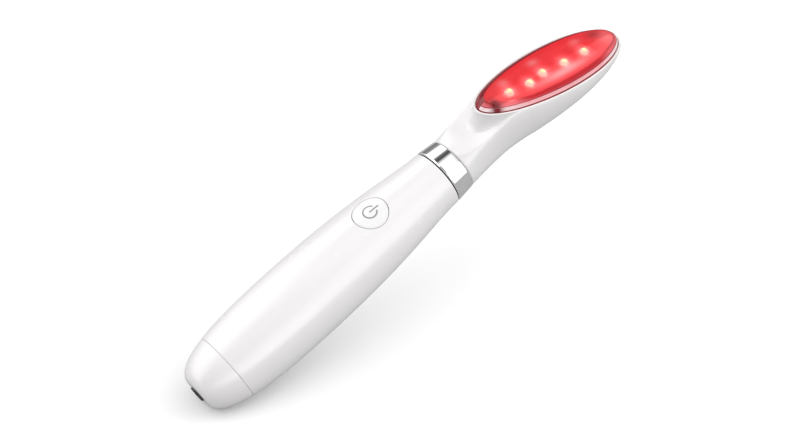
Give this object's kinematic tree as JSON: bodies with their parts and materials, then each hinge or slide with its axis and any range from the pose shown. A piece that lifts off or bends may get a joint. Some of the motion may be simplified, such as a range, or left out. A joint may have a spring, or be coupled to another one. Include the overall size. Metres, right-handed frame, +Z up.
{
  "type": "eye care wand",
  "caption": "Slim round handheld wand with a push button, a metal collar and a tilted red light window on a bowl-shaped head.",
  "frame": {"origin": "on the surface that the wand lies on, under the middle of its length and width", "axes": "+X along the wand from the tail to the head, +Z up, the side of the button and the light window"},
  "size_m": [0.1546, 0.0228, 0.0249],
  "materials": {
    "body_white": "glossy pearl white moulding",
    "button_white": "satin white moulding",
    "collar_chrome": "mirror chrome",
    "window_red": "clear red, polished",
    "black_plastic": "matt black moulding",
    "steel": "plain steel",
    "seal_rubber": "matt black rubber",
    "carrier_plastic": "natural moulding",
    "cell_wrap": "shrink wrap",
    "board_green": "solder mask",
    "board_white": "white solder mask",
    "light_dome": "clear resin, lit",
    "weight_metal": "cast heavy alloy",
    "lead_red": "insulation",
    "lead_black": "insulation"
  },
  "bodies": {
    "body": {"handle_shell": "body_white", "tail_cap": "body_white", "head_housing": "body_white", "collar_ring": "collar_chrome", "light_window": "window_red", "charging_jack": "black_plastic", "jack_pin": "steel", "tail_seal": "seal_rubber", "neck_seal": "seal_rubber", "motor_boot": "seal_rubber", "inner_carrier": "carrier_plastic", "battery_cell": "cell_wrap", "main_board": "board_green", "control_chip": "black_plastic", "charge_chip": "black_plastic", "board_screw_1": "steel", "board_screw_2": "steel", "tact_switch": "steel", "light_board": "board_white", "light_board_screw_1": "steel", "light_board_screw_2": "steel", "vibration_motor": "steel", "jack_lead_red": "lead_red", "jack_lead_black": "lead_black", "battery_lead_red": "lead_red", "battery_lead_black": "lead_black", "motor_lead_red": "lead_red", "motor_lead_black": "lead_black", "light_lead_red": "lead_red", "light_lead_black": "lead_black", "light_1": "light_dome", "light_2": "light_dome", "light_3": "light_dome", "light_4": "light_dome", "light_5": "light_dome"},
    "button": {"power_button": "button_white", "switch_plunger": "black_plastic"},
    "rotor": {"motor_shaft": "steel", "eccentric_weight": "weight_metal"}
  },
  "joints": [
    {"name": "button_press", "type": "slide", "parent": "body", "child": "button", "axis": [0, 0, -1], "range_m": [0, 0.0004], "stiffness_N_per_m": 1500},
    {"name": "rotor_spin", "type": "hinge", "parent": "body", "child": "rotor", "pos_m": [0.03469, 0, 0.01044], "axis": [1, 0, 0], "continuous": true}
  ]
}
